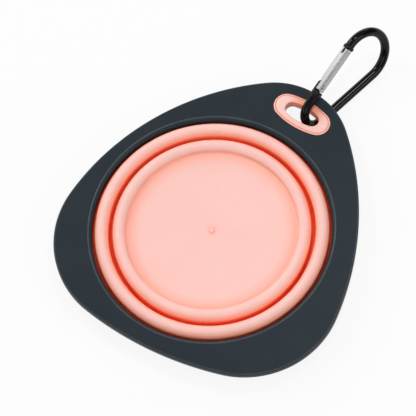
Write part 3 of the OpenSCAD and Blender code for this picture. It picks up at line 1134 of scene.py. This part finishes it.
@dataclass
class HangGrommet:
    """The oval silicone eyelet round the hang hole, loops bridged one by one and mirrored.

    Attributes:
        y: Place of the hole's middle on the Y axis.
        hole: Length, width and end radius of the hole.
        neck: Length, width and end radius of the neck in the frame.
        flange: Length, width and end radius of the flanges.
        rise: Height of a flange above the frame's face.
        lip: Insets and heights of the rounded lip's loops, from the hole and from the flange's top.
        border: Insets and heights of the border's loops, from the flange's edge and the frame's face.
        top: Height of the frame's upper face.
        under: Height of the frame's lower face.
        turn: Turn of the oval about its middle in degrees.
        finish: The eyelet's finish.
    """

    MARK: ClassVar[str] = "loop_number"
    y: float = 77.0
    hole: tuple[float, float, float] = (19.2, 8.5, 3.5)
    neck: tuple[float, float, float] = (23.5, 12.4, 5.35)
    flange: tuple[float, float, float] = (32.0, 15.9, 6.6)
    rise: float = 0.5
    lip: tuple[tuple[float, float], ...] = ((0.0, -0.4), (-0.05, -0.2), (-0.2, -0.05), (-0.4, 0.0))
    border: tuple[tuple[float, float], ...] = (
        (1.40, 0.50),
        (1.25, 0.46),
        (1.00, 0.08),
        (0.75, 0.06),
        (0.55, 0.28),
        (0.40, 0.33),
        (0.18, 0.31),
        (0.04, 0.20),
        (0.0, 0.01),
    )
    top: float = 12.0
    under: float = 7.6
    turn: float = 1.8
    # The salmon, coral and red below are painted shade in the eyelet's folds and round its hole.
    finish: SiliconeFinish = SiliconeFinish(
        colour=(0.920, 0.590, 0.540),
        deep=(0.905, 0.570, 0.520),
        salmon=(0.930, 0.400, 0.300),
        coral=(0.880, 0.270, 0.160),
        red=(0.700, 0.150, 0.070),
        reach=9.0,
        passing=0.20,
    )

    def inset(self, base: tuple[float, float, float], by: float) -> Oval:
        """Returns an oval drawn in from another by a width."""
        return Oval(base[0] - 2 * by, base[1] - 2 * by, base[2] - by, self.y, self.turn)

    def loops(self) -> list[tuple[Oval, float]]:
        """Returns the ovals and heights of the section's upper half, from the hole to the neck."""
        up = self.top + self.rise
        mouth = [(self.inset(self.hole, by), up + high) for by, high in self.lip]
        border = [(self.inset(self.flange, by), self.top + high) for by, high in self.border]
        neck = (self.inset(self.neck, 0.0), border[-1][1])
        return [*mouth, *border, neck]

    def build(self) -> list[bpy.types.Object]:
        """Builds, dresses and hangs the eyelet.

        Returns:
            The one piece.
        """
        rings = []
        for number, (oval, height) in enumerate(self.loops()):
            ring = oval.ring(f"eyelet_loop_{number}", height)
            bpy.ops.object.mode_set(mode="OBJECT")
            mark = ring.data.attributes.new(self.MARK, "INT", "POINT")
            for item in mark.data:
                item.value = number
            rings.append(ring)
        piece = Bench.join(rings)
        piece.name = "hang_eyelet"
        bpy.ops.object.mode_set(mode="EDIT")
        last = len(rings) - 1
        for number in range(last):
            self.bridge(piece, number, number + 1)
        middle = Vector((0.0, 0.0, (self.top + self.under) / 2)) * MM
        bpy.ops.mesh.select_all(action="SELECT")
        bpy.ops.mesh.duplicate()
        bpy.ops.transform.resize(value=(1.0, 1.0, -1.0), center_override=middle)
        self.bridge(piece, 0, 0)
        self.bridge(piece, last, last)
        Bench.weld()
        Bench.done(piece, 50.0)
        piece.data.attributes.remove(piece.data.attributes[self.MARK])
        dress(piece, self.finish.build("pink_grommet"))
        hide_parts("hang_grommet")
        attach(piece, Body.RIM.value)
        return [piece]

    def bridge(self, piece: bpy.types.Object, first: int, second: int) -> None:
        """Spans two of the eyelet's loops with faces.

        Args:
            piece: The joined loops, in edit mode.
            first: Number of one loop.
            second: Number of the other loop, the same where a loop meets its mirrored copy.
        """
        layer = bmesh.from_edit_mesh(piece.data).verts.layers.int[self.MARK]

        def along(edge: bmesh.types.BMEdge) -> bool:
            """Tells whether an edge lies along one of the two loops."""
            numbers = {vert[layer] for vert in edge.verts}
            return numbers in ({first}, {second})

        Bench.pick(piece, along)
        bpy.ops.mesh.bridge_edge_loops()


@dataclass
class Carabiner:
    """The bent rod with its hinge block, tongue, nose and hook, hung through the grommet.

    Attributes:
        rod_r: Radius of the rod.
        small: Bend radius of the small end.
        large: Bend radius of the large end.
        pitch: Distance between the two bend centres along the spine.
        block: Side of the two square blocks.
        heel: Place along the gate of the hinge block's face.
        block_length: Length of the hinge block.
        nose: Length of the nose block.
        gate: Side of the square gate bar.
        rivet: Place along the gate of the hinge rivet.
        hook: Reach, root and thickness of the nose's hook and the rounding of its edges.
        hook_over: Reach of the hook past the gate's middle line.
        catch: Distance of the hook's round catch from the nose and its radius.
        tongue: Reach of the tongue past the rivet, root in the hinge block and thickness.
        spring_bore: Place across the gate, radius and length of the bore, and its middle past the tongue.
        place: Place of the spine's first point.
        heading: Angle of the spine from +Y towards +X in degrees.
        lean: Lean of the loop's plane from level in degrees.
        finish: Finish of the rod and the blocks.
        gate_finish: Finish of the gate, with its lines along the gate.
        pin_finish: Finish of the rivet, the latch pin and the spring.
    """

    rod_r: float = 2.35
    small: float = 7.5
    large: float = 13.8
    pitch: float = 37.0
    block: float = 4.4
    heel: float = 8.5
    block_length: float = 4.1
    nose: float = 2.5
    gate: float = 4.0
    rivet: float = 11.6
    hook: tuple[float, float, float, float] = (2.3, 0.8, 1.0, 0.12)
    hook_over: float = 0.2
    catch: tuple[float, float] = (1.4, 0.65)
    tongue: tuple[float, float, float] = (2.7, 0.5, 1.3)
    spring_bore: tuple[float, float, float, float] = (-0.8, 0.4, 3.6, 0.4)
    place: Place = (6.9, 83.2, 2.4)
    heading: float = 9.8
    lean: float = 66.7
    finish: BlackFinish = BlackFinish()
    gate_finish: BrightFinish = BrightFinish(heading=88.1, rise=-17.7)
    pin_finish: BrightFinish = BrightFinish(
        colour=(0.52, 0.52, 0.53),
        dull=(0.38, 0.38, 0.39),
        roughness=0.30,
    )

    @property
    def taper(self) -> float:
        """Angle between the spine and the gate in degrees."""
        return 2 * math.degrees(math.atan((self.large - self.small) / self.pitch))

    @property
    def pose(self) -> Matrix:
        """Matrix from the loop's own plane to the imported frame, in metres."""
        turn = Matrix.Rotation(math.radians(90.0 - self.heading), 4, "Z")
        lean = Matrix.Rotation(math.radians(self.lean), 4, "X")
        return Matrix.Translation(Vector(self.place) * MM) @ turn @ lean

    @property
    def gate_frame(self) -> Matrix:
        """Matrix from the gate's own line to the loop's plane, in metres."""
        angle = math.radians(90.0 + self.taper)
        start = Vector((math.cos(angle), 1.0 + math.sin(angle), 0.0)) * self.small
        return Matrix.Translation(start * MM) @ Matrix.Rotation(math.radians(self.taper), 4, "Z")

    def build(self, frame: dict) -> list[bpy.types.Object]:
        """Builds, dresses and hangs the carabiner's body and dresses its small CAD pieces.


        Returns:
            The pieces.
        """
        body = self.body()
        dress(body, self.finish.build("black_coating"))
        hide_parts("carabiner_body")
        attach(body, Body.CARABINER.value)
        bright = self.gate_finish.build("bright_gate")
        steel = self.pin_finish.build("steel_pins")
        dress(frame["nodes"]["gate_bar"], bright)
        for node in ("hinge_rivet", "latch_pin", "gate_spring"):
            dress(frame["nodes"][node], steel)
        return [body]

    def body(self) -> bpy.types.Object:
        """Returns the rod, the two blocks, the tongue and the hook joined into one piece."""
        on_gate = self.pose @ self.gate_frame
        soft, before_bend = 0.6, 0.4
        heel_span = (self.heel - self.block_length, self.heel)
        nose_span = (self.pitch - self.nose, self.pitch - before_bend)
        heel = self.box("hinge_block", heel_span, self.block, self.block, soft)
        nose = self.box("nose_block", nose_span, self.block, self.block, soft)
        tongue = self.hinge_tongue()
        hook = self.nose_hook()
        for piece in (heel, nose, tongue, hook):
            Bench.settle(piece, on_gate)
        rod = Bench.settle(self.rod(), self.pose)
        body = Bench.join([rod, heel, nose, tongue, hook])
        body.name = "clip_body"
        bpy.ops.object.shade_smooth_by_angle(angle=math.radians(40.0))
        return body

    def rod(self) -> bpy.types.Object:
        """Returns the bent rod in its own plane, swept from the hinge block round to the nose."""
        along = direction(self.taper)
        inside = 1.0
        first = self.gate_frame @ Vector(((self.heel - inside) * MM, 0.0, 0.0))
        Bench.clear()
        turn = along.to_track_quat("Z", "Y").to_euler()
        bpy.ops.mesh.primitive_circle_add(
            vertices=40,
            radius=self.rod_r * MM,
            location=first,
            rotation=turn,
        )
        piece = bpy.context.object
        piece.name = "bent_rod"
        bpy.ops.object.transform_apply(location=True, rotation=True, scale=True)
        bpy.ops.object.mode_set(mode="EDIT")
        bpy.ops.mesh.select_mode(type="EDGE")
        bpy.ops.mesh.select_all(action="SELECT")
        Bench.push(-along * (self.heel - inside))
        Bench.spin(Vector((0.0, self.small, 0.0)) * MM, UP, 180.0 - self.taper, 36)
        Bench.push(Vector((self.pitch, 0.0, 0.0)))
        Bench.spin(Vector((self.pitch, self.large, 0.0)) * MM, UP, 180.0 + self.taper, 64)
        Bench.push(-along * inside)
        Bench.weld()
        bpy.ops.mesh.fill_holes(sides=0)
        bpy.ops.mesh.normals_make_consistent(inside=False)
        return Bench.done(piece, 40.0)

    @staticmethod
    def block_at(name: str, size: Vector, middle: Vector) -> bpy.types.Object:
        """Starts a square block on the gate's own line.

        Args:
            name: Name of the block.
            size: Its length, width and thickness.
            middle: Place of its middle.

        Returns:
            The block, in edit mode, selected all over.
        """
        Bench.clear()
        bpy.ops.mesh.primitive_cube_add(size=1.0)
        piece = bpy.context.object
        piece.name = name
        piece.scale = size * MM
        bpy.ops.object.transform_apply(location=True, rotation=True, scale=True)
        bpy.ops.object.mode_set(mode="EDIT")
        bpy.ops.mesh.select_all(action="SELECT")
        bpy.ops.transform.translate(value=middle * MM)
        return piece

    @staticmethod
    def box(
        name: str, span: tuple[float, float], wide: float, thick: float, soft: float
    ) -> bpy.types.Object:
        """Makes a bar along the gate's line with softened edges.

        Args:
            name: Name of the bar.
            span: First and last place along the gate.
            wide: Width in the loop's plane.
            thick: Thickness square to the plane.
            soft: Rounding of every edge.

        Returns:
            The bar, on the gate's own line.
        """
        size = Vector((span[1] - span[0], wide, thick))
        middle = Vector(((span[0] + span[1]) / 2, 0.0, 0.0))
        piece = Carabiner.block_at(name, size, middle)
        bpy.ops.mesh.bevel(offset=soft * MM, segments=4, affect="EDGES")
        return Bench.done(piece, 40.0)

    @staticmethod
    def drill(place: Place, radius: float, way: Vector) -> bpy.types.Object:
        """Makes a round tool for a bore.

        Args:
            place: Middle of the bore on the gate's own line.
            radius: Radius of the bore.
            way: Direction and length of the bore.

        Returns:
            The tool.
        """
        Bench.clear()
        turn = way.to_track_quat("Z", "Y").to_euler()
        bpy.ops.mesh.primitive_cylinder_add(
            vertices=32,
            radius=radius * MM,
            depth=way.length * MM,
            location=Vector(place) * MM,
            rotation=turn,
        )
        bpy.ops.object.transform_apply(location=True, rotation=True, scale=True)
        return bpy.context.object

    def nose_hook(self) -> bpy.types.Object:
        """Makes the nose's hook with the round catch for the latch pin.

        Returns:
            The hook, on the gate's own line.
        """
        half, over = self.gate / 2, self.hook_over
        reach, root, thick, soft = self.hook
        back, radius = self.catch
        face = self.pitch - self.nose
        piece = self.box("nose_hook", (face - reach, face + root), half + over, thick, soft)
        Bench.settle(piece, Matrix.Translation(Vector((0.0, (half - over) / 2, 0.0)) * MM))
        return Bench.cut(piece, self.drill((face - back, -over, 0.0), radius, UP * (2 * thick)))

    def hinge_tongue(self) -> bpy.types.Object:
        """Makes the hinge tongue, round at its end, with the bore for the spring.

        Returns:
            The tongue, on the gate's own line.
        """
        half = self.gate / 2
        past, root, thick = self.tongue
        end = self.rivet + past
        level = thick / 2 - half
        size = Vector((end - self.heel + root, 2 * half, thick))
        middle = Vector(((end + self.heel - root) / 2, 0.0, level))
        piece = self.block_at("hinge_tongue", size, middle)
        tip = (end - 0.01) * MM

        def at_tip(edge: bmesh.types.BMEdge) -> bool:
            """Tells whether an edge is one of the two through the thickness at the tip."""
            first, second = (vert.co for vert in edge.verts)
            return min(first.x, second.x) > tip and abs(first.z - second.z) > thick / 2 * MM

        Bench.pick(piece, at_tip)
        bpy.ops.mesh.bevel(offset=(half - 0.1) * MM, segments=10, affect="EDGES")
        Bench.done(piece, 40.0)
        across, radius, length, out = self.spring_bore
        bore = self.drill((end + out, across, level), radius, Vector((length, 0.0, 0.0)))
        return Bench.cut(piece, bore)


@dataclass
class Studio:
    """Camera, floor, world and lamps.

    Attributes:
        azimuth: Angle of the camera round the bowl in degrees.
        elevation: Height of the camera in degrees.
        roll: Turn of the picture in degrees.
        distance: Distance of the camera from the frame.
        lens: Focal length on a sensor 36 mm wide.
        aim: Shift of the aim to the right and up in the picture, from the bowl's axis at the frame's top.
        frame_top: Height of the frame's top.
        floor_grey: Grey of the floor as the lamps light it.
        floor_white: Share of plain white in the floor as it is seen.
        surround: Strength of the even surround.
    """

    azimuth: float = 45.3
    elevation: float = 65.1
    roll: float = 9.4
    distance: float = 1500.0
    lens: float = 259.6
    aim: tuple[float, float] = (-1.7, 9.95)
    frame_top: float = 12.0
    floor_grey: float = 0.80
    floor_white: float = 0.88
    surround: float = 0.16

    def build(self) -> None:
        """Builds the whole studio."""
        self.camera()
        self.floor()
        self.world()
        self.lamp("key_lamp", (0.02, 0.285, 0.73), (0.0, 0.05, 0.0), 0.12, 0.12, 1.03)
        self.lamp("ceiling_strip", (0.04, 0.08, 0.70), (0.04, 0.08, 0.0), 0.08, 2.4, 1.7)
        self.lamp("left_card", (-0.62, 0.14, 0.70), (0.0, 0.06, 0.01), 0.22, 0.22, 1.9)
        self.lamp("low_left_card", (-0.92, 0.01, 0.39), (0.0, 0.10, 0.02), 0.90, 0.56, 2.5)
        self.lamp("back_card", (-0.68, 0.72, 0.22), (0.0, 0.0, 0.01), 1.20, 0.25, 3.0)
        self.lamp("right_card", (0.82, 0.20, 0.48), (0.0, 0.03, 0.01), 0.50, 0.40, 2.5)
        self.lamp("front_card", (0.45, -0.45, 0.60), (0.0, 0.0, 0.01), 0.60, 0.60, 1.55)
        self.lamp("near_left_card", (-0.50, -0.62, 0.42), (0.0, 0.0, 0.01), 0.60, 0.40, 1.3)

    def camera(self) -> None:
        """Places the camera at the photograph's angle."""
        across = direction(self.azimuth)
        away = direction(self.azimuth + 90.0)
        rise = math.radians(self.elevation)
        up = away * math.sin(rise) + UP * math.cos(rise)
        back = -away * math.cos(rise) + UP * math.sin(rise)
        roll = math.radians(self.roll)
        right = across * math.cos(roll) - up * math.sin(roll)
        top = across * math.sin(roll) + up * math.cos(roll)
        aim = UP * self.frame_top + right * self.aim[0] + top * self.aim[1]
        data = bpy.data.cameras.new("photo_camera")
        data.lens = self.lens
        data.sensor_width = 36.0
        data.clip_start = 0.01
        data.clip_end = 20.0
        data.dof.use_dof = False
        camera = bpy.data.objects.new("photo_camera", data)
        bpy.context.scene.collection.objects.link(camera)
        turn = Matrix((right, top, back)).transposed().to_4x4()
        camera.matrix_world = Matrix.Translation((aim + back * self.distance) * MM) @ turn
        bpy.context.scene.camera = camera

    def floor(self) -> None:
        """Lays a white floor that keeps a faint shadow."""
        Bench.clear()
        bpy.ops.mesh.primitive_plane_add(size=8.0, location=(0.0, 0.0, 0.0))
        plane = bpy.context.object
        plane.name = "studio_floor"
        material = bpy.data.materials.new("white_floor")
        material.use_nodes = True
        nodes = Nodes(material.node_tree)
        material.node_tree.nodes.clear()
        path = nodes.add("ShaderNodeLightPath")
        looked = nodes.math("MAXIMUM", path.outputs["Is Camera Ray"], path.outputs["Is Transmission Ray"])
        seen = nodes.math("MAXIMUM", looked, path.outputs["Is Glossy Ray"])
        lit = nodes.add("ShaderNodeBsdfDiffuse", {"Color": (*[self.floor_grey] * 3, 1.0)})
        glow = nodes.add("ShaderNodeEmission", {"Color": (1.0, 1.0, 1.0, 1.0), "Strength": 1.0})
        share = nodes.math("MULTIPLY", seen, self.floor_white)
        mix = nodes.add("ShaderNodeMixShader", {0: share, 1: lit.outputs[0], 2: glow.outputs[0]})
        nodes.add("ShaderNodeOutputMaterial", {"Surface": mix.outputs[0]})
        plane.data.materials.append(material)

    def world(self) -> None:
        """Sets a soft even surround that fills the shadows."""
        world = bpy.data.worlds.new("white_surround")
        bpy.context.scene.world = world
        world.use_nodes = True
        nodes = Nodes(world.node_tree)
        world.node_tree.nodes.clear()
        glow = nodes.add("ShaderNodeBackground", {"Color": (1.0, 1.0, 1.0, 1.0), "Strength": self.surround})
        nodes.add("ShaderNodeOutputWorld", {"Surface": glow.outputs[0]})

    @staticmethod
    def lamp(name: str, place: Place, aim: Place, wide: float, long: float, power: float) -> None:
        """Hangs one softbox.

        Args:
            name: Name of the lamp.
            place: Where it hangs, in metres.
            aim: The point that it faces, in metres.
            wide: Its width in metres.
            long: Its length in metres, along Y where it faces down.
            power: Its power in watts.
        """
        data = bpy.data.lights.new(name, "AREA")
        data.shape = "RECTANGLE"
        data.size = wide
        data.size_y = long
        data.energy = power
        lamp = bpy.data.objects.new(name, data)
        bpy.context.scene.collection.objects.link(lamp)
        lamp.location = place
        lamp.rotation_euler = (Vector(aim) - Vector(place)).to_track_quat("-Z", "Y").to_euler()


def main() -> None:
    """Builds the whole scene in order and logs each piece."""
    logging.basicConfig(level=logging.INFO, format="%(name)s: %(message)s")
    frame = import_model()
    bpy.context.scene.view_settings.view_transform = "Standard"
    Studio().build()
    pieces = FoldedBowl().build()
    pieces += RimFrame().build()
    pieces += HangGrommet().build()
    pieces += Carabiner().build(frame)
    for piece in pieces:
        LOG.info("%s: %d faces", piece.name, len(piece.data.polygons))
    Bench.clear()


if __name__ == "__main__":
    main()
